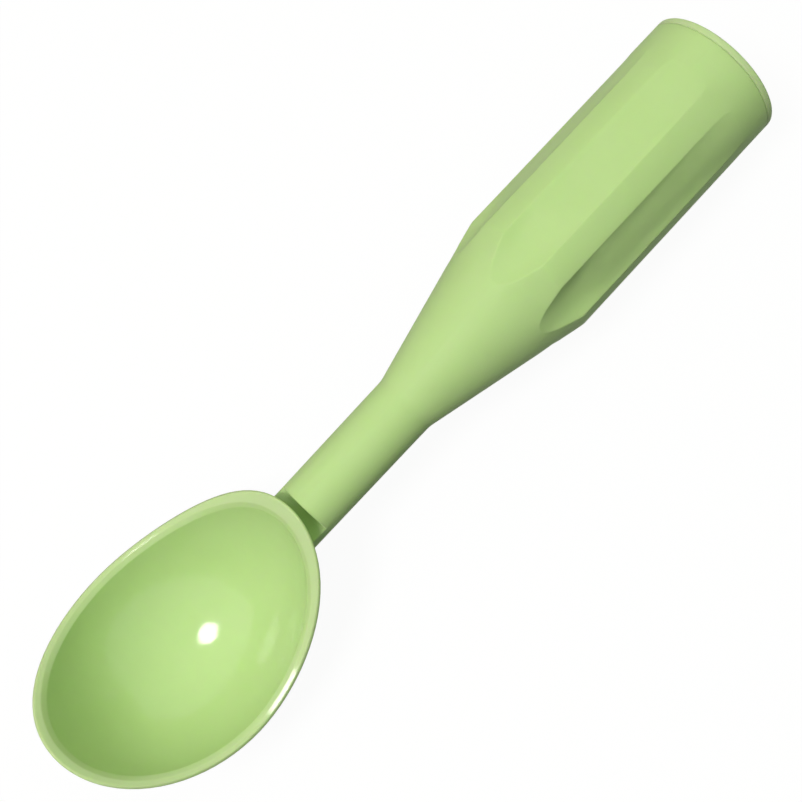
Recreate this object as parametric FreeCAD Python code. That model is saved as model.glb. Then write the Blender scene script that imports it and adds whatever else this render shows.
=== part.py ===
"""Ice cream scoop: one moulded body with an egg-shaped bowl and a fluted, cored grip, and its end cap.

Millimetres. The work is drawn along the handle: X runs from the bowl to the grip's end, Y is across
and Z is up out of the bowl, with X = 0 where the rim meets the stem and Z = 0 on the handle's axis.
At the end both pieces are tipped as the scoop lies on a table, standing on the bowl's underside and
the grip's end, and moved so that the origin is in the middle of that footprint.
"""
import FreeCAD
import Part
import math
import os

from FreeCAD import Vector

# Lengths along the handle
bowl_length = 72.5
stem_length = 33.95
cone_length = 41.0
grip_length = 63.2
cap_flange = 1.8

# Stem, cone and grip
stem_diameter_at_bowl = 14.8
stem_diameter_at_cone = 15.2
grip_diameter_at_shoulder = 34.7
grip_diameter_at_end = 34.1
cone_root_blend = 7.0
shoulder_blend = 5.0

# Flutes
flute_count = 6
flute_half_angle = 19.5
flute_depth = 1.25
flute_nose_depth = 2.3
flute_settling_length = 12.0
flute_lead_in = 4.0
flute_end_margin = 9.0
flute_nose_power = 2.4
flute_end_power = 5.0
flute_fade_power = 3
flute_run_out = 0.05
flute_overlap = 1.25
flute_rows = 25
flute_columns = 15

# Core inside the grip
core_diameter_at_mouth = 27.0
core_diameter_at_bottom = 25.0
core_depth = 60.0
core_bottom_chamfer = 4.0

# End cap
spigot_depth = 7.0
spigot_wall = 2.0
spigot_clearance = 0.1
spigot_lead_in = 0.8
cap_edge_radius = 0.7
cap_edge_steps = 4
seam_chamfer = 0.2

# Bowl outside
bowl_width = 53.3
bowl_widest_from_stem = 39.5
bowl_underside = 21.7
bowl_end_fullness = 0.575
bowl_belly_handle = 17.9
egg_axis_above_rim = 3.9

# Rim heights over the handle's axis, in side view
rim_height_at_tip = 15.9
rim_height_at_stem = 10.4
rim_height_at_middle = -2.3

# Bowl wall and lip
wall_at_tip = 2.1
wall_at_stem = 3.1
wall_at_side = 2.4
wall_at_bottom = 2.4
lip_chamfer = 0.8

# Root of the stem behind the rim
root_notch_length = 1.5
root_notch_depth = 5.0
root_notch_radius = 0.4
root_fillet = 1.2

# Stations along the handle that follow from the lengths
tip_x = -bowl_length
cone_x = stem_length
shoulder_x = cone_x + cone_length
end_x = shoulder_x + grip_length
seam_x = end_x - cap_flange
cone_slope = (grip_diameter_at_shoulder - stem_diameter_at_cone) / 2 / cone_length
flute_nose_x = shoulder_x - flute_nose_depth / cone_slope
flute_start_x = flute_nose_x - flute_lead_in
flute_stop_x = end_x - flute_end_margin

# The bowl's own frame: its X axis runs from the tip to the stem, level with the two ends of the rim
rim_rise = rim_height_at_tip - rim_height_at_stem
bowl_tilt = math.atan2(rim_rise, bowl_length)
rim_half_chord = math.hypot(bowl_length, rim_rise) / 2
rim_middle = Vector(tip_x / 2, 0, (rim_height_at_tip + rim_height_at_stem) / 2)
rim_sag = rim_middle.z - rim_height_at_middle
rim_cut_radius = (rim_half_chord ** 2 + rim_sag ** 2) / (2 * rim_sag)
egg_depth = (rim_middle.z + egg_axis_above_rim + bowl_underside) / math.cos(bowl_tilt)
egg_widest = (-bowl_widest_from_stem - rim_middle.x) / math.cos(bowl_tilt)


def rim_drop(x):
    """Depth of the rim below the egg's axis at a station of the bowl's own frame."""
    return egg_axis_above_rim + math.sqrt(rim_cut_radius ** 2 - x ** 2) - (rim_cut_radius - rim_sag)


# The egg is as wide at its axis as it must be to leave the wanted width at the rim
egg_half_width = bowl_width / 2 / math.sqrt(1 - (rim_drop(egg_widest) / egg_depth) ** 2)


def egg_line(front, widest, back, depth, handle):
    """Half outline of an egg, as one smooth curve from its front pole to its back pole."""
    rise = bowl_end_fullness * depth
    poles = [
        Vector(front, 0, 0),
        Vector(front, 0, rise),
        Vector(widest - handle, 0, depth),
        Vector(widest + handle, 0, depth),
        Vector(back, 0, rise),
        Vector(back, 0, 0),
    ]
    line = Part.BSplineCurve()
    line.buildFromPolesMultsKnots(poles, [4, 2, 4], [0.0, 0.5, 1.0], False, 3)
    return line


def station_where(line, height, low, high):
    """Station of the half outline, between two parameters, where it is as high as asked."""
    rising = line.value(high).z > line.value(low).z
    for _ in range(60):
        middle = (low + high) / 2
        if (line.value(middle).z < height) == rising:
            low = middle
        else:
            high = middle
    return line.value(low).x


def egg_ends(depth, handle):
    """Poles of the egg whose outline passes through both ends of the rim."""
    front, back = -rim_half_chord, rim_half_chord
    for _ in range(12):
        line = egg_line(front, egg_widest, back, depth, handle)
        front -= station_where(line, egg_axis_above_rim, 0.0, 0.5) + rim_half_chord
        back -= station_where(line, egg_axis_above_rim, 0.5, 1.0) - rim_half_chord
    return front, back


def half_egg(front, back, depth, half_width, handle):
    """Solid lower half of an egg in the bowl's own frame, wider or narrower across than it is deep."""
    line = egg_line(front, egg_widest, back, depth, handle)
    face = Part.Face(Part.Wire([line.toShape(), Part.makeLine(line.EndPoint, line.StartPoint)]))
    face.rotate(Vector(0, 0, 0), Vector(1, 0, 0), 90)
    solid = face.revolve(Vector(0, 0, 0), Vector(1, 0, 0), 180)
    across = FreeCAD.Matrix()
    across.A22 = half_width / depth
    return solid.transformGeometry(across)


def bowl():
    """Egg-shaped shell and the solid half egg round it.

    The rim is trimmed by one round cut that lies across the egg, and its lip is chamfered on both sides.
    """
    front, back = egg_ends(egg_depth, bowl_belly_handle)
    outside = half_egg(front, back, egg_depth, egg_half_width, bowl_belly_handle)
    inner_depth = egg_depth - wall_at_bottom
    inner_handle = bowl_belly_handle * inner_depth / egg_depth
    inside = half_egg(front + wall_at_tip, back - wall_at_stem, inner_depth,
                      egg_half_width - wall_at_side, inner_handle)
    reach = egg_half_width + wall_at_side
    cut_centre = rim_cut_radius - rim_sag - egg_axis_above_rim
    round_cut = Part.makeCylinder(rim_cut_radius, 2 * reach, Vector(0, -reach, cut_centre),
                                  Vector(0, 1, 0))
    shell = outside.cut(inside).cut(round_cut)
    lip = [edge for edge in shell.Edges if on_round_cut(edge, cut_centre)]
    shell = shell.makeChamfer(lip_chamfer, lip)
    return to_handle_frame(shell), to_handle_frame(outside)


def on_round_cut(edge, cut_centre):
    """True for an edge that lies on the round cut, which is where the rim's edges are."""
    for step in (0.2, 0.5, 0.8):
        at = edge.valueAt(edge.FirstParameter + step * (edge.LastParameter - edge.FirstParameter))
        if abs(math.hypot(at.x, at.z - cut_centre) - rim_cut_radius) > 0.01:
            return False
    return True


def to_handle_frame(shape):
    """Carries a shape from the bowl's own frame to the handle's."""
    placed = shape.copy()
    placed.translate(Vector(0, 0, egg_axis_above_rim))
    placed.rotate(Vector(0, 0, 0), Vector(0, 1, 0), math.degrees(bowl_tilt))
    placed.translate(rim_middle)
    return placed


def grip_radius(x):
    """Radius of the grip's straight taper, carried on past both its ends."""
    share = (x - shoulder_x) / grip_length
    return (grip_diameter_at_shoulder + share * (grip_diameter_at_end - grip_diameter_at_shoulder)) / 2


def stem_radius(x):
    """Radius of the stem's straight taper, carried on into the bowl."""
    share = x / stem_length
    return (stem_diameter_at_bowl + share * (stem_diameter_at_cone - stem_diameter_at_bowl)) / 2


def rounded_corner(before, corner, after, radius):
    """Arc that rounds one corner of an outline, with the two points where it starts and ends."""
    back = (before - corner).normalize()
    ahead = (after - corner).normalize()
    half = back.getAngle(ahead) / 2
    start = corner + back * (radius / math.tan(half))
    finish = corner + ahead * (radius / math.tan(half))
    centre = corner + (back + ahead).normalize() * (radius / math.sin(half))
    middle = centre + (corner - centre).normalize() * radius
    return start, Part.Arc(start, middle, finish).toShape(), finish


def handle():
    """Round bar that carries the grip: tapered stem, cone, shoulder and tapered grip."""
    inside_bowl = tip_x / 4
    root = Vector(inside_bowl, 0, stem_radius(inside_bowl))
    cone_root = Vector(cone_x, 0, stem_diameter_at_cone / 2)
    shoulder = Vector(shoulder_x, 0, grip_radius(shoulder_x))
    end = Vector(seam_x, 0, grip_radius(seam_x))
    root_start, root_arc, root_end = rounded_corner(root, cone_root, shoulder, cone_root_blend)
    top_start, top_arc, top_end = rounded_corner(cone_root, shoulder, end, shoulder_blend)
    seam_start = end + (shoulder - end).normalize() * seam_chamfer
    seam_end = end - Vector(0, 0, seam_chamfer)
    outline = Part.Wire([
        Part.makeLine(Vector(inside_bowl, 0, 0), root),
        Part.makeLine(root, root_start),
        root_arc,
        Part.makeLine(root_end, top_start),
        top_arc,
        Part.makeLine(top_end, seam_start),
        Part.makeLine(seam_start, seam_end),
        Part.makeLine(seam_end, Vector(seam_x, 0, 0)),
        Part.makeLine(Vector(seam_x, 0, 0), Vector(inside_bowl, 0, 0)),
    ])
    return Part.Face(outline).revolve(Vector(0, 0, 0), Vector(1, 0, 0), 360)


def root_notch():
    """What is missing from the top of the stem, just behind the rim."""
    over = max(rim_height_at_tip, rim_height_at_stem) + stem_diameter_at_bowl
    floor = stem_diameter_at_bowl / 2 - root_notch_depth
    start = Vector(tip_x / 3, 0, floor)
    corner = Vector(root_notch_length, 0, floor)
    top = Vector(root_notch_length, 0, over)
    arc_start, arc, arc_end = rounded_corner(start, corner, top, root_notch_radius)
    outline = Part.Wire([
        Part.makeLine(start, arc_start),
        arc,
        Part.makeLine(arc_end, top),
        Part.makeLine(top, Vector(start.x, 0, over)),
        Part.makeLine(Vector(start.x, 0, over), start),
    ])
    notch = Part.Face(outline).extrude(Vector(0, 2 * stem_diameter_at_bowl, 0))
    notch.translate(Vector(0, -stem_diameter_at_bowl, 0))
    return notch


def flute_depth_at(x):
    """Depth of a flute along its middle, under the grip's taper.

    It is deep at the nose, settles behind the shoulder and then runs out in a curve.
    """
    past_shoulder = max(0.0, x - shoulder_x)
    settled = min(1.0, past_shoulder / flute_settling_length)
    nose = (flute_nose_depth - flute_depth) * (1 - settled * settled * (3 - 2 * settled))
    share = past_shoulder / (flute_stop_x - shoulder_x)
    return nose + flute_depth * (1 - share ** flute_fade_power)


def flute_power_at(x):
    """How flat a flute's floor is: a plain scoop at the nose, a flat floor between walls at the end."""
    share = max(0.0, (x - shoulder_x) / (flute_stop_x - shoulder_x))
    return flute_nose_power + share * (flute_end_power - flute_nose_power)


def flute_cutter():
    """Cutter of the flute on top of the grip: its scooped floor, drawn out to above the grip.

    It comes out of the cone in a long round nose and runs out between parallel edges.
    """
    rows = []
    for along in range(flute_rows):
        x = flute_start_x + along * (flute_stop_x - flute_start_x) / (flute_rows - 1)
        depth = flute_depth_at(x)
        power = flute_power_at(x)
        row = []
        for across in range(flute_columns):
            share = flute_overlap * (2 * across / (flute_columns - 1) - 1)
            radius = grip_radius(x) + flute_run_out - depth * (1 - abs(share) ** power)
            angle = math.radians(share * flute_half_angle)
            row.append(Vector(x, radius * math.sin(angle), radius * math.cos(angle)))
        rows.append(row)
    floor = Part.BSplineSurface()
    floor.interpolate(rows)
    return floor.toShape().extrude(Vector(0, 0, grip_diameter_at_shoulder / 2))


def flutes():
    """Flute cutters, evenly spaced round the grip from the one on top."""
    top = flute_cutter()
    cutters = []
    for index in range(flute_count):
        cutter = top.copy()
        cutter.rotate(Vector(0, 0, 0), Vector(1, 0, 0), index * 360 / flute_count)
        cutters.append(cutter)
    return cutters


def core():
    """Blind hollow of the grip, open at its end, with a tapered side and a chamfered bottom."""
    bottom_x = end_x - core_depth
    side_x = bottom_x + core_bottom_chamfer
    points = [
        Vector(bottom_x, 0, 0),
        Vector(bottom_x, 0, core_radius(side_x) - core_bottom_chamfer),
        Vector(side_x, 0, core_radius(side_x)),
        Vector(seam_x, 0, core_radius(seam_x)),
        Vector(seam_x, 0, 0),
        Vector(bottom_x, 0, 0),
    ]
    return Part.Face(Part.makePolygon(points)).revolve(Vector(0, 0, 0), Vector(1, 0, 0), 360)


def core_radius(x):
    """Radius of the core's straight taper."""
    share = (seam_x - x) / (core_depth - cap_flange)
    return (core_diameter_at_mouth + share * (core_diameter_at_bottom - core_diameter_at_mouth)) / 2


def in_root_crease(edge):
    """True for the edge where the underside and sides of the stem run into the bowl."""
    for step in (0.1, 0.5, 0.9):
        at = edge.valueAt(edge.FirstParameter + step * (edge.LastParameter - edge.FirstParameter))
        if abs(math.hypot(at.y, at.z) - stem_radius(at.x)) > 0.01 or at.x > 0:
            return False
    return edge.Length > stem_diameter_at_bowl


def scoop_body():
    """The whole moulding: bowl, stem, cone and fluted, cored grip."""
    shell, solid_egg = bowl()
    bar = handle().cut(flutes()).cut(core()).cut(root_notch())
    body = bar.cut(solid_egg).fuse(shell)
    crease = [edge for edge in body.Edges if in_root_crease(edge)]
    return body.makeFillet(root_fillet, crease)


def end_cap():
    """Pressed-in cap: a flange as wide as the grip, with a hollow spigot that fits the core.

    The flange's outer edge is rounded in narrow steps.
    """
    flange_radius = grip_radius(seam_x)
    spigot_end_x = seam_x - spigot_depth
    spigot_tip = core_radius(spigot_end_x) - spigot_clearance
    spigot_root = core_radius(seam_x) - spigot_clearance
    lead_in = Vector(spigot_end_x + spigot_lead_in, 0, spigot_tip)
    edge_centre = Vector(end_x - cap_edge_radius, 0, flange_radius - cap_edge_radius)
    edge = []
    for step in range(cap_edge_steps + 1):
        angle = math.radians(90 * step / cap_edge_steps)
        edge.append(edge_centre + Vector(math.sin(angle), 0, math.cos(angle)) * cap_edge_radius)
    points = edge + [
        Vector(end_x, 0, 0),
        Vector(seam_x, 0, 0),
        Vector(seam_x, 0, spigot_tip - spigot_wall),
        Vector(spigot_end_x, 0, spigot_tip - spigot_wall),
        Vector(spigot_end_x, 0, spigot_tip - spigot_lead_in / 2),
        lead_in,
        Vector(seam_x, 0, spigot_root),
        Vector(seam_x, 0, flange_radius - seam_chamfer),
        Vector(seam_x + seam_chamfer, 0, flange_radius),
        edge[0],
    ]
    return Part.Face(Part.makePolygon(points)).revolve(Vector(0, 0, 0), Vector(1, 0, 0), 360)


def lowest(shape, tilt):
    """Height of a shape's lowest point once it is tipped about the Y axis."""
    tipped = shape.copy()
    tipped.rotate(Vector(0, 0, 0), Vector(0, 1, 0), tilt)
    return tipped.optimalBoundingBox(False, False).ZMin


def as_it_lies(body, cap):
    """Both pieces tipped to lie on the bowl and the grip's end, over the middle of their footprint."""
    reach = end_x + bowl_widest_from_stem
    tilt = 0.0
    for _ in range(4):
        tilt += math.degrees(math.atan2(lowest(cap, tilt) - lowest(body, tilt), reach))
    for shape in (body, cap):
        shape.rotate(Vector(0, 0, 0), Vector(0, 1, 0), tilt)
    box = Part.makeCompound([body, cap]).optimalBoundingBox(False, False)
    shift = Vector(-(box.XMin + box.XMax) / 2, -(box.YMin + box.YMax) / 2, -box.ZMin)
    for shape in (body, cap):
        shape.translate(shift)
    print("tipped by %.3f degrees, moved by %s" % (tilt, shift))
    return body, cap


def main():
    os.makedirs("parts", exist_ok=True)
    body, cap = as_it_lies(scoop_body(), end_cap())
    for name, shape in (("scoop_body", body), ("end_cap", cap)):
        solid = shape.Solids[0]
        solid.exportStep("parts/%s.step" % name)
        print(name, len(shape.Solids), "solid,", round(solid.Volume / 1000, 2), "cm3, valid", solid.isValid())


main()
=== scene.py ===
"""Ice cream scoop: the finishes of its two mouldings, the table, the lights and the camera.

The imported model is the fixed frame: it lies on the table with the bowl's tip towards -X, the grip's end
towards +X and the bowl open upwards. Nothing here moves it. Lengths are in metres.
"""

import logging
import math
from dataclasses import dataclass, field
from enum import Enum

import bpy
from mathutils import Matrix, Vector


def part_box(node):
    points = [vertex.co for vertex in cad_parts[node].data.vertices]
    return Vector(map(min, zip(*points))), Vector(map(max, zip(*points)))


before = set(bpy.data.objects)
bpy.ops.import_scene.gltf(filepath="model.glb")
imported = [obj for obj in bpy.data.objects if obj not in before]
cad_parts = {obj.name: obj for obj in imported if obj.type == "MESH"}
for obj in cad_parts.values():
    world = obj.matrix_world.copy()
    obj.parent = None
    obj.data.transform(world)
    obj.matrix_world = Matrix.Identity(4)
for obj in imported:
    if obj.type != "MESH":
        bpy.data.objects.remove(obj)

LOG = logging.getLogger("scoop")
COLOUR_MIX_INPUTS = (6, 7)
COLOUR_MIX_OUTPUT = 2
CLOUD_DETAIL = 3.0
CLOUD_EDGES = (0.35, 0.65)
RELIEF_DETAIL = {"Grain": 2.0, "Ripple": 0.0}
WHITE = (1.0, 1.0, 1.0, 1.0)
ALONG_HANDLE = Vector((1.0, 0.0, 0.0))

Colour = tuple[float, float, float]


class Gloss(Enum):
    """Roughness that the mould's steel leaves on the plastic."""

    POLISHED = 0.12
    SATIN = 0.58


@dataclass(frozen=True)
class PlasticFinish:
    """Finish of one moulding in light green plastic.

    Attributes:
        slot: Name of the record's material slot.
        lit: Colour of most of the surface.
        deep: Colour that the faint clouds in the plastic lean to.
        gloss: Gloss of the outside.
        cloud_size: Size of the clouds.
        cloud_share: How far the clouds lean to the deep colour.
        grain_size: Size of the grain left by the mould.
        grain_height: Height of that grain.
        ripple_size: Size of the slow ripple in the surface.
        ripple_height: Height of that ripple.
        specular: Specular level of the shader.
        scatter: How much light goes into the plastic and out again.
        scatter_radius: How far each of red, green and blue goes.
        edge_radius: Radius that the mould's edges look rounded to.
        edge_samples: Rays that the rounding of an edge takes.
    """

    slot: str
    lit: Colour
    deep: Colour
    gloss: Gloss = Gloss.SATIN
    cloud_size: float = 0.012
    cloud_share: float = 0.35
    grain_size: float = 0.00045
    grain_height: float = 0.000006
    ripple_size: float = 0.006
    ripple_height: float = 0.00002
    specular: float = 0.27
    scatter: float = 0.30
    scatter_radius: Colour = (0.0014, 0.0022, 0.0008)
    edge_radius: float = 0.0007
    edge_samples: int = 8


@dataclass(frozen=True)
class BowlFinish:
    """What the bowl's inside has over the rest of the moulding, and the painted highlight on its lip.

    Attributes:
        lip: Paler colour painted on the lip, a painted highlight for the light that the rim catches.
        gloss: Gloss of the inside.
        coat: Share of the brighter gloss that lies over the polished inside.
        coat_roughness: Roughness of that gloss.
        evenness: Share of the grain and ripple that the polish takes away.
    """

    lip: Colour = (0.542, 0.700, 0.318)
    gloss: Gloss = Gloss.POLISHED
    coat: float = 0.45
    coat_roughness: float = 0.1
    evenness: float = 0.7


BODY_PLASTIC = PlasticFinish(
    slot="body_plastic",
    lit=(0.512, 0.700, 0.290),
    deep=(0.488, 0.686, 0.262),
)
CAP_PLASTIC = PlasticFinish(
    slot="cap_plastic",
    lit=(0.560, 0.715, 0.350),
    deep=(0.535, 0.695, 0.320),
)
BOWL_FINISH = BowlFinish()


class NodeTree:
    """Adds nodes to one tree and joins them."""

    def __init__(self, tree: bpy.types.NodeTree) -> None:
        """Takes the tree.

        Args:
            tree: The tree that the nodes go into.
        """
        self.tree = tree

    def add(self, kind: str, **settings: object) -> bpy.types.Node:
        """Adds a node.

        Args:
            kind: Type of the node.
            **settings: Properties of the node by name.

        Returns:
            The new node.
        """
        node = self.tree.nodes.new(kind)
        for name, value in settings.items():
            setattr(node, name, value)
        return node

    def join(self, source: bpy.types.NodeSocket, target: bpy.types.NodeSocket) -> None:
        """Joins an output to an input."""
        self.tree.links.new(source, target)

    def feed(self, target: bpy.types.NodeSocket, value: object) -> None:
        """Sets an input to a plain value, or joins it to an output.

        Args:
            target: The input.
            value: A number, a tuple or an output socket.
        """
        if isinstance(value, bpy.types.NodeSocket):
            self.join(value, target)
        else:
            target.default_value = value

    def math(self, operation: str, *values: object) -> bpy.types.NodeSocket:
        """Adds a Math node.

        Args:
            operation: Name of the operation.
            *values: Its inputs, as numbers or output sockets.

        Returns:
            The result's output.
        """
        node = self.add("ShaderNodeMath", operation=operation)
        for target, value in zip(node.inputs, values):
            self.feed(target, value)
        return node.outputs["Value"]

    def vector(self, operation: str, *values: object) -> bpy.types.Node:
        """Adds a Vector Math node.

        Args:
            operation: Name of the operation.
            *values: Its inputs, as tuples or output sockets.

        Returns:
            The node.
        """
        node = self.add("ShaderNodeVectorMath", operation=operation)
        for target, value in zip(node.inputs, values):
            self.feed(target, value)
        return node

    def blend(self, share: object, first: object, second: object) -> bpy.types.NodeSocket:
        """Blends two colours.

        Args:
            share: Share of the second colour.
            first: The first colour.
            second: The second colour.

        Returns:
            The blended colour's output.
        """
        node = self.add("ShaderNodeMix", data_type="RGBA")
        self.feed(node.inputs["Factor"], share)
        for index, colour in zip(COLOUR_MIX_INPUTS, (first, second)):
            self.feed(node.inputs[index], colour)
        return node.outputs[COLOUR_MIX_OUTPUT]

    def smooth(self, value: object, low: float, high: float) -> bpy.types.NodeSocket:
        """Turns a value into a soft step from 0 to 1.

        Args:
            value: The value, as an output socket.
            low: Where the step starts.
            high: Where it ends.

        Returns:
            The step's output.
        """
        node = self.add("ShaderNodeMapRange", interpolation_type="SMOOTHSTEP")
        self.feed(node.inputs["Value"], value)
        node.inputs["From Min"].default_value = low
        node.inputs["From Max"].default_value = high
        return node.outputs["Result"]


def new_group(name: str, inputs: dict[str, str], outputs: dict[str, str]) -> bpy.types.NodeTree:
    """Starts a shader node group.

    Args:
        name: Name of the group.
        inputs: Socket type by name.
        outputs: Socket type by name.

    Returns:
        The group's tree, with its input and output nodes in it.
    """
    group = bpy.data.node_groups.new(name, "ShaderNodeTree")
    for direction, sockets in (("INPUT", inputs), ("OUTPUT", outputs)):
        for socket_name, socket_type in sockets.items():
            group.interface.new_socket(name=socket_name, in_out=direction, socket_type=socket_type)
    group.nodes.new("NodeGroupInput")
    group.nodes.new("NodeGroupOutput")
    return group


def moulded_skin() -> bpy.types.NodeTree:
    """Builds the group for what every moulded surface here shows.

    Returns:
        A group that gives the plastic's cloudy colour, and the height of its grain and slow ripple.
    """
    group = new_group(
        "moulded_skin",
        {
            "Place": "NodeSocketVector",
            "Lit": "NodeSocketColor",
            "Deep": "NodeSocketColor",
            "Cloud Scale": "NodeSocketFloat",
            "Cloud Share": "NodeSocketFloat",
            "Grain Scale": "NodeSocketFloat",
            "Grain Height": "NodeSocketFloat",
            "Ripple Scale": "NodeSocketFloat",
            "Ripple Height": "NodeSocketFloat",
        },
        {"Color": "NodeSocketColor", "Height": "NodeSocketFloat"},
    )
    nodes = NodeTree(group)
    entry = next(node for node in group.nodes if node.type == "GROUP_INPUT")
    leave = next(node for node in group.nodes if node.type == "GROUP_OUTPUT")
    values = entry.outputs
    cloud = nodes.add("ShaderNodeTexNoise")
    nodes.join(values["Place"], cloud.inputs["Vector"])
    nodes.join(values["Cloud Scale"], cloud.inputs["Scale"])
    cloud.inputs["Detail"].default_value = CLOUD_DETAIL
    clouded = nodes.smooth(cloud.outputs["Fac"], *CLOUD_EDGES)
    share = nodes.math("MULTIPLY", clouded, values["Cloud Share"])
    nodes.join(nodes.blend(share, values["Lit"], values["Deep"]), leave.inputs["Color"])
    heights = []
    for relief, detail in RELIEF_DETAIL.items():
        noise = nodes.add("ShaderNodeTexNoise")
        nodes.join(values["Place"], noise.inputs["Vector"])
        nodes.join(values[f"{relief} Scale"], noise.inputs["Scale"])
        noise.inputs["Detail"].default_value = detail
        heights.append(nodes.math("MULTIPLY", noise.outputs["Fac"], values[f"{relief} Height"]))
    nodes.join(nodes.math("ADD", *heights), leave.inputs["Height"])
    return group


@dataclass
class PlasticMaterial:
    """A material in moulded plastic, built from its finish.

    Attributes:
        finish: The finish that it shows.
        skin: The group that every moulded surface shares.
    """

    finish: PlasticFinish
    skin: bpy.types.NodeTree

    def build(self, bowl: "Bowl | None") -> bpy.types.Material:
        """Builds the material.

        Args:
            bowl: The bowl that the piece ends in, or None for a piece without one.

        Returns:
            The material.
        """
        finish = self.finish
        material = bpy.data.materials.new(finish.slot)
        material.use_nodes = True
        nodes = NodeTree(material.node_tree)
        shader = material.node_tree.nodes["Principled BSDF"]
        shader.inputs["Roughness"].default_value = finish.gloss.value
        shader.inputs["Specular IOR Level"].default_value = finish.specular
        shader.inputs["Subsurface Weight"].default_value = finish.scatter
        shader.inputs["Subsurface Radius"].default_value = finish.scatter_radius
        shader.inputs["Subsurface Scale"].default_value = 1.0
        place = nodes.add("ShaderNodeTexCoord").outputs["Object"]
        skin = self.add_skin(nodes, place)
        colour, height = skin.outputs["Color"], skin.outputs["Height"]
        if bowl is not None:
            colour, height = bowl.finish_surface(nodes, place, shader, finish.gloss, (colour, height))
        nodes.join(colour, shader.inputs["Base Color"])
        self.add_relief(nodes, height, shader)
        return material

    def add_relief(
        self, nodes: NodeTree, height: bpy.types.NodeSocket, shader: bpy.types.Node
    ) -> None:
        """Adds the rounded edges, and the grain and ripple on them.

        Args:
            nodes: The material's nodes.
            height: Height of the grain and ripple.
            shader: The material's shader.
        """
        rounded = nodes.add("ShaderNodeBevel", samples=self.finish.edge_samples)
        rounded.inputs["Radius"].default_value = self.finish.edge_radius
        bump = nodes.add("ShaderNodeBump")
        bump.inputs["Strength"].default_value = 1.0
        bump.inputs["Distance"].default_value = 1.0
        nodes.join(rounded.outputs["Normal"], bump.inputs["Normal"])
        nodes.join(height, bump.inputs["Height"])
        nodes.join(bump.outputs["Normal"], shader.inputs["Normal"])

    def add_skin(self, nodes: NodeTree, place: bpy.types.NodeSocket) -> bpy.types.Node:
        """Adds the shared group with this finish's values.

        Args:
            nodes: The material's nodes.
            place: Output with the place on the surface.

        Returns:
            The group's node.
        """
        finish = self.finish
        skin = nodes.add("ShaderNodeGroup")
        skin.node_tree = self.skin
        nodes.join(place, skin.inputs["Place"])
        for name, value in {
            "Lit": (*finish.lit, 1.0),
            "Deep": (*finish.deep, 1.0),
            "Cloud Scale": 1.0 / finish.cloud_size,
            "Cloud Share": finish.cloud_share,
            "Grain Scale": 1.0 / finish.grain_size,
            "Grain Height": finish.grain_height,
            "Ripple Scale": 1.0 / finish.ripple_size,
            "Ripple Height": finish.ripple_height,
        }.items():
            skin.inputs[name].default_value = value
        return skin


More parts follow.
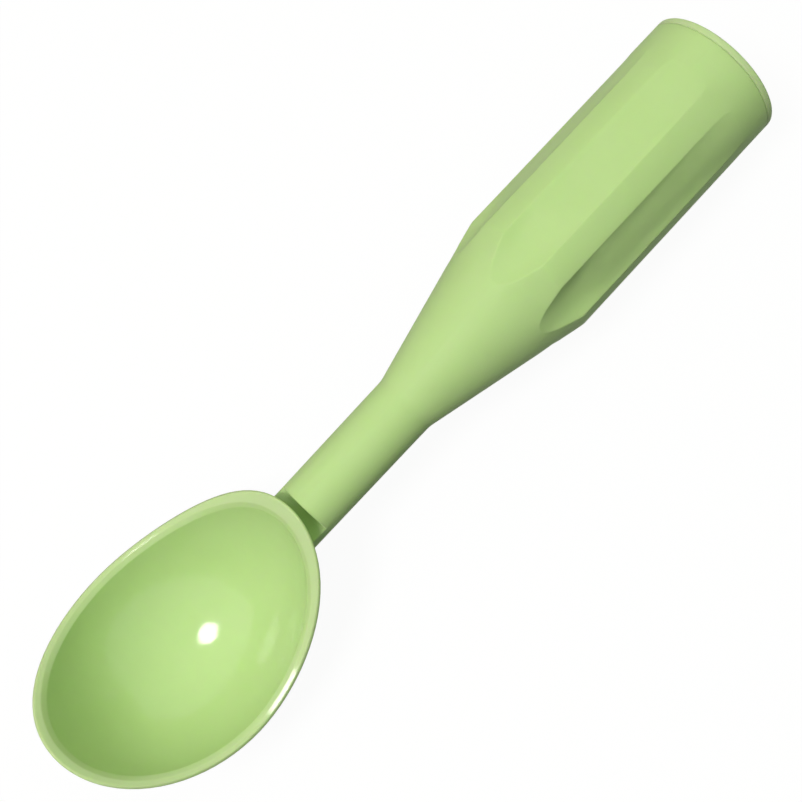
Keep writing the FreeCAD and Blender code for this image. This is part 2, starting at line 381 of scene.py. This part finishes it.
@dataclass
class Bowl:
    """The bowl's polished inside and its lip, told from the rest of the moulding.

    The rim was trimmed by one round cut, and the lip is what lies just under that cut.

    Attributes:
        middle: A point over the middle of the bowl that its whole inside faces.
        end: Station along the handle where the bowl ends.
        finish: What the bowl has over the rest of the moulding.
        cut_axis: A point on the axis of the round cut, which runs across the scoop.
        cut_radius: Radius of the round cut.
        lip_depth: How far below the cut the lip reaches.
        edge: Width of the change from polished to satin, as a cosine.
    """

    middle: Vector
    end: float
    finish: BowlFinish
    cut_axis: Vector = field(default_factory=lambda: Vector((-0.065587, 0.0, 0.069475)))
    cut_radius: float = 0.050495
    lip_depth: float = 0.0009
    edge: float = 0.12

    def finish_surface(
        self,
        nodes: NodeTree,
        place: bpy.types.NodeSocket,
        shader: bpy.types.Node,
        outside: Gloss,
        skin: tuple[bpy.types.NodeSocket, bpy.types.NodeSocket],
    ) -> tuple[bpy.types.NodeSocket, bpy.types.NodeSocket]:
        """Polishes the inside and paints a paler highlight colour on the lip.

        Args:
            nodes: The material's nodes.
            place: Output with the place on the surface.
            shader: The material's shader.
            outside: Gloss of the rest of the moulding.
            skin: Colour and height of the plain moulded surface.

        Returns:
            Colour and height with the bowl in them.
        """
        colour, height = skin
        finish = self.finish
        inside = self.add_inside(nodes, place)
        spread = finish.gloss.value - outside.value
        rough = nodes.math("MULTIPLY_ADD", inside, spread, outside.value)
        nodes.join(rough, shader.inputs["Roughness"])
        nodes.join(nodes.math("MULTIPLY", inside, finish.coat), shader.inputs["Coat Weight"])
        shader.inputs["Coat Roughness"].default_value = finish.coat_roughness
        kept = nodes.math("MULTIPLY_ADD", inside, -finish.evenness, 1.0)
        # Painted highlight: the lip gets a paler colour for the light that the rim catches.
        lip = nodes.blend(self.add_lip(nodes, place), colour, (*finish.lip, 1.0))
        return lip, nodes.math("MULTIPLY", height, kept)

    def add_inside(self, nodes: NodeTree, place: bpy.types.NodeSocket) -> bpy.types.NodeSocket:
        """Adds the nodes that find the bowl's inside.

        Args:
            nodes: The material's nodes.
            place: Output with the place on the surface.

        Returns:
            An output that is 1 inside the bowl and 0 elsewhere.
        """
        towards = nodes.vector("SUBTRACT", tuple(self.middle), place).outputs["Vector"]
        towards = nodes.vector("NORMALIZE", towards).outputs["Vector"]
        normal = nodes.add("ShaderNodeNewGeometry").outputs["Normal"]
        facing = nodes.vector("DOT_PRODUCT", towards, normal).outputs["Value"]
        inside = nodes.smooth(facing, -self.edge, self.edge)
        return nodes.math("MULTIPLY", inside, self.add_before_end(nodes, place))

    def add_lip(self, nodes: NodeTree, place: bpy.types.NodeSocket) -> bpy.types.NodeSocket:
        """Adds the nodes that find the lip.

        Args:
            nodes: The material's nodes.
            place: Output with the place on the surface.

        Returns:
            An output that is 1 on the lip and 0 elsewhere.
        """
        from_axis = nodes.vector("SUBTRACT", place, tuple(self.cut_axis)).outputs["Vector"]
        from_axis = nodes.vector("MULTIPLY", from_axis, (1.0, 0.0, 1.0)).outputs["Vector"]
        reach = nodes.vector("LENGTH", from_axis).outputs["Value"]
        below = nodes.smooth(reach, self.cut_radius + self.lip_depth, self.cut_radius)
        return nodes.math("MULTIPLY", below, self.add_before_end(nodes, place))

    def add_before_end(self, nodes: NodeTree, place: bpy.types.NodeSocket) -> bpy.types.NodeSocket:
        """Adds the test for the bowl's part of the moulding.

        Args:
            nodes: The material's nodes.
            place: Output with the place on the surface.

        Returns:
            An output that is 1 as far as the bowl reaches and 0 along the handle.
        """
        axes = nodes.add("ShaderNodeSeparateXYZ")
        nodes.join(place, axes.inputs["Vector"])
        return nodes.math("LESS_THAN", axes.outputs["X"], self.end)


@dataclass
class Scoop:
    """The scoop itself: one moulded body and its end cap.

    Attributes:
        skin: The group that every moulded surface shares.
        bowl_length: Length of the bowl along the handle.
        middle_height: Height of a point over the bowl that its whole inside faces.
    """

    skin: bpy.types.NodeTree
    bowl_length: float = 0.0725
    middle_height: float = 0.034

    def dress(self) -> None:
        """Gives both nodes their materials."""
        tip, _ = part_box("scoop_body")
        bowl = Bowl(
            middle=Vector((tip.x + self.bowl_length / 2, 0.0, self.middle_height)),
            end=tip.x + self.bowl_length,
            finish=BOWL_FINISH,
        )
        self.dress_node("scoop_body", BODY_PLASTIC, bowl)
        self.dress_node("end_cap", CAP_PLASTIC, None)

    def dress_node(self, node: str, finish: PlasticFinish, bowl: "Bowl | None") -> None:
        """Puts one material on one node.

        Args:
            node: Name of the node.
            finish: Its finish.
            bowl: Its bowl, if it has one.
        """
        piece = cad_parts[node]
        piece.data.materials.clear()
        piece.data.materials.append(PlasticMaterial(finish, self.skin).build(bowl))
        LOG.info("%s dressed in %s", node, finish.slot)


@dataclass
class PhotoCamera:
    """Camera at the photograph's viewing angle.

    Attributes:
        focal_pixels: Focal length, in pixels of the picture.
        picture_pixels: Side of the square picture.
        distance: Distance from the camera to the point that it looks at.
        target: The point that it looks at, on the handle's axis plane.
        elevation_deg: Angle of the view above the table.
        azimuth_deg: Turn of the view about the vertical.
        handle_deg: Angle of the handle in the picture, from level, bowl down at the left.
        sensor_mm: Width of the camera's sensor.
        nearest: Distance where the camera's view starts.
        farthest: Distance where it ends.
    """

    focal_pixels: float = 1150.0
    picture_pixels: float = 802.0
    distance: float = 0.2622
    target: Vector = field(default_factory=lambda: Vector((0.00050, 0.00113, 0.01986)))
    elevation_deg: float = 75.0
    azimuth_deg: float = -1.21
    handle_deg: float = 47.31
    sensor_mm: float = 36.0
    nearest: float = 0.01
    farthest: float = 20.0

    def handle_axes(self) -> tuple[Vector, Vector, Vector]:
        """Works out the directions that the camera sees the handle by.

        Returns:
            Along the handle and to its left as the camera sees them, and back to the camera.
        """
        azimuth = math.radians(self.azimuth_deg)
        elevation = math.radians(self.elevation_deg)
        back = Vector((
            math.sin(azimuth) * math.cos(elevation),
            -math.cos(azimuth) * math.cos(elevation),
            math.sin(elevation),
        ))
        along = (ALONG_HANDLE - back * back.dot(ALONG_HANDLE)).normalized()
        return along, back.cross(along), back

    def axes(self) -> tuple[Vector, Vector, Vector]:
        """Works out the camera's own directions.

        Returns:
            The camera's right, up and backward directions.
        """
        along, left, back = self.handle_axes()
        turn = math.radians(self.handle_deg)
        right = along * math.cos(turn) - left * math.sin(turn)
        up = along * math.sin(turn) + left * math.cos(turn)
        return right, up, back

    def build(self) -> None:
        """Makes the camera and gives it to the scene."""
        right, up, back = self.axes()
        place = self.target + back * self.distance
        data = bpy.data.cameras.new("camera")
        data.sensor_width = self.sensor_mm
        data.lens = self.sensor_mm * self.focal_pixels / self.picture_pixels
        data.clip_start = self.nearest
        data.clip_end = self.farthest
        camera = bpy.data.objects.new("camera", data)
        camera.matrix_world = Matrix((
            (right.x, up.x, back.x, place.x),
            (right.y, up.y, back.y, place.y),
            (right.z, up.z, back.z, place.z),
            (0.0, 0.0, 0.0, 1.0),
        ))
        bpy.context.scene.collection.objects.link(camera)
        bpy.context.scene.camera = camera


@dataclass(frozen=True)
class Lamp:
    """One soft round lamp.

    Attributes:
        name: Name of the lamp.
        direction: Where it stands as seen from the scoop.
        size: Its diameter.
        power: Its power in watts.
        colour: Its colour.
        mirrored: Whether it shows in the polished plastic.
        distance: Its distance.
    """

    name: str
    direction: Vector
    size: float
    power: float
    colour: Colour
    mirrored: bool = False
    distance: float = 1.0

    def build(self, aim: Vector) -> None:
        """Hangs the lamp.

        Args:
            aim: The point that it shines at.
        """
        data = bpy.data.lights.new(self.name, "AREA")
        data.shape = "DISK"
        data.size = self.size
        data.energy = self.power
        data.color = self.colour
        lamp = bpy.data.objects.new(self.name, data)
        towards = self.direction.normalized()
        lamp.location = aim + towards * self.distance
        lamp.rotation_euler = towards.to_track_quat("Z", "Y").to_euler()
        lamp.visible_glossy = self.mirrored
        bpy.context.scene.collection.objects.link(lamp)


@dataclass
class Studio:
    """Table, surroundings and lamps.

    Attributes:
        camera: The camera, whose view of the handle the lamps are placed by.
        table_size: Side of the table.
        table_glow: Share of the table's white, as the camera sees it, that no shadow dims.
        table_bounce: How much light the table throws back at the scoop.
        surroundings: Strength of the light from all round.
        aim: The point that the lamps shine at.
    """

    camera: PhotoCamera
    table_size: float = 6.0
    table_glow: float = 0.95
    table_bounce: float = 0.10
    surroundings: float = 0.015
    aim: Vector = field(default_factory=lambda: Vector((0.0, 0.0, 0.02)))

    def build(self) -> None:
        """Makes the table, the surroundings and the lamps."""
        self.build_table()
        self.build_surroundings()
        self.build_lamps()
        bpy.context.scene.view_settings.view_transform = "Standard"

    def seen_directly(self, nodes: NodeTree) -> bpy.types.NodeSocket:
        """Adds the test for what the camera sees, straight or as a reflection.

        Args:
            nodes: The nodes of the table or the surroundings.

        Returns:
            An output that is 1 for the camera, reflections and glass.
        """
        path = nodes.add("ShaderNodeLightPath")
        seen = nodes.math("MAXIMUM", path.outputs["Is Camera Ray"], path.outputs["Is Glossy Ray"])
        return nodes.math("MAXIMUM", seen, path.outputs["Is Transmission Ray"])

    def build_table(self) -> None:
        """Makes the white table that the scoop lies on."""
        half = self.table_size / 2
        mesh = bpy.data.meshes.new("table")
        corners = [(-half, -half, 0.0), (half, -half, 0.0), (half, half, 0.0), (-half, half, 0.0)]
        mesh.from_pydata(corners, [], [(0, 1, 2, 3)])
        table = bpy.data.objects.new("table", mesh)
        bpy.context.scene.collection.objects.link(table)
        material = bpy.data.materials.new("white_table")
        material.use_nodes = True
        nodes = NodeTree(material.node_tree)
        tree = material.node_tree
        tree.nodes.remove(tree.nodes["Principled BSDF"])
        glow = nodes.add("ShaderNodeEmission")
        glow.inputs["Strength"].default_value = 1.0
        shade = nodes.add("ShaderNodeBsdfDiffuse")
        shade.inputs["Color"].default_value = WHITE
        bounce = nodes.add("ShaderNodeBsdfDiffuse")
        grey = self.table_bounce
        bounce.inputs["Color"].default_value = (grey, grey, grey, 1.0)
        seen = nodes.add("ShaderNodeMixShader")
        seen.inputs["Fac"].default_value = self.table_glow
        nodes.join(shade.outputs["BSDF"], seen.inputs[1])
        nodes.join(glow.outputs["Emission"], seen.inputs[2])
        pick = nodes.add("ShaderNodeMixShader")
        nodes.join(self.seen_directly(nodes), pick.inputs["Fac"])
        nodes.join(bounce.outputs["BSDF"], pick.inputs[1])
        nodes.join(seen.outputs["Shader"], pick.inputs[2])
        nodes.join(pick.outputs["Shader"], tree.nodes["Material Output"].inputs["Surface"])
        mesh.materials.append(material)

    def build_surroundings(self) -> None:
        """Makes the surroundings: white to the camera, and dim as a light."""
        world = bpy.data.worlds.new("surroundings")
        bpy.context.scene.world = world
        world.use_nodes = True
        nodes = NodeTree(world.node_tree)
        background = world.node_tree.nodes["Background"]
        background.inputs["Color"].default_value = WHITE
        seen = self.seen_directly(nodes)
        strength = nodes.math("MULTIPLY_ADD", seen, 1.0 - self.surroundings, self.surroundings)
        nodes.join(strength, background.inputs["Strength"])

    def build_lamps(self) -> None:
        """Hangs the key lamp, and three wide weak ones round it."""
        along, left, back = self.camera.handle_axes()
        lamps = (
            Lamp(
                name="key",
                direction=along * -0.325 + left * 0.32 + back * 0.89,
                size=0.37,
                power=6.8,
                colour=(1.0, 0.96, 1.0),
                mirrored=True,
            ),
            Lamp(
                name="handle_side",
                direction=along * 0.6 + back * 0.8,
                size=1.8,
                power=4.2,
                colour=(0.74, 1.0, 0.68),
            ),
            Lamp(
                name="left",
                direction=along * 0.45 + left * 0.62 + back * 0.64,
                size=1.6,
                power=3.2,
                colour=(1.0, 0.93, 0.80),
            ),
            Lamp(
                name="bowl_side",
                direction=along * -0.75 + left * 0.05 + back * 0.66,
                size=1.4,
                power=1.8,
                colour=(0.88, 1.0, 0.80),
            ),
        )
        for lamp in lamps:
            lamp.build(self.aim)
            LOG.info("%s lamp hung", lamp.name)


def main() -> None:
    """Builds the scene in order."""
    logging.basicConfig(level=logging.INFO, format="%(name)s: %(message)s")
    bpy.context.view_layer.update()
    Scoop(moulded_skin()).dress()
    camera = PhotoCamera()
    camera.build()
    Studio(camera).build()


if __name__ == "__main__":
    main()
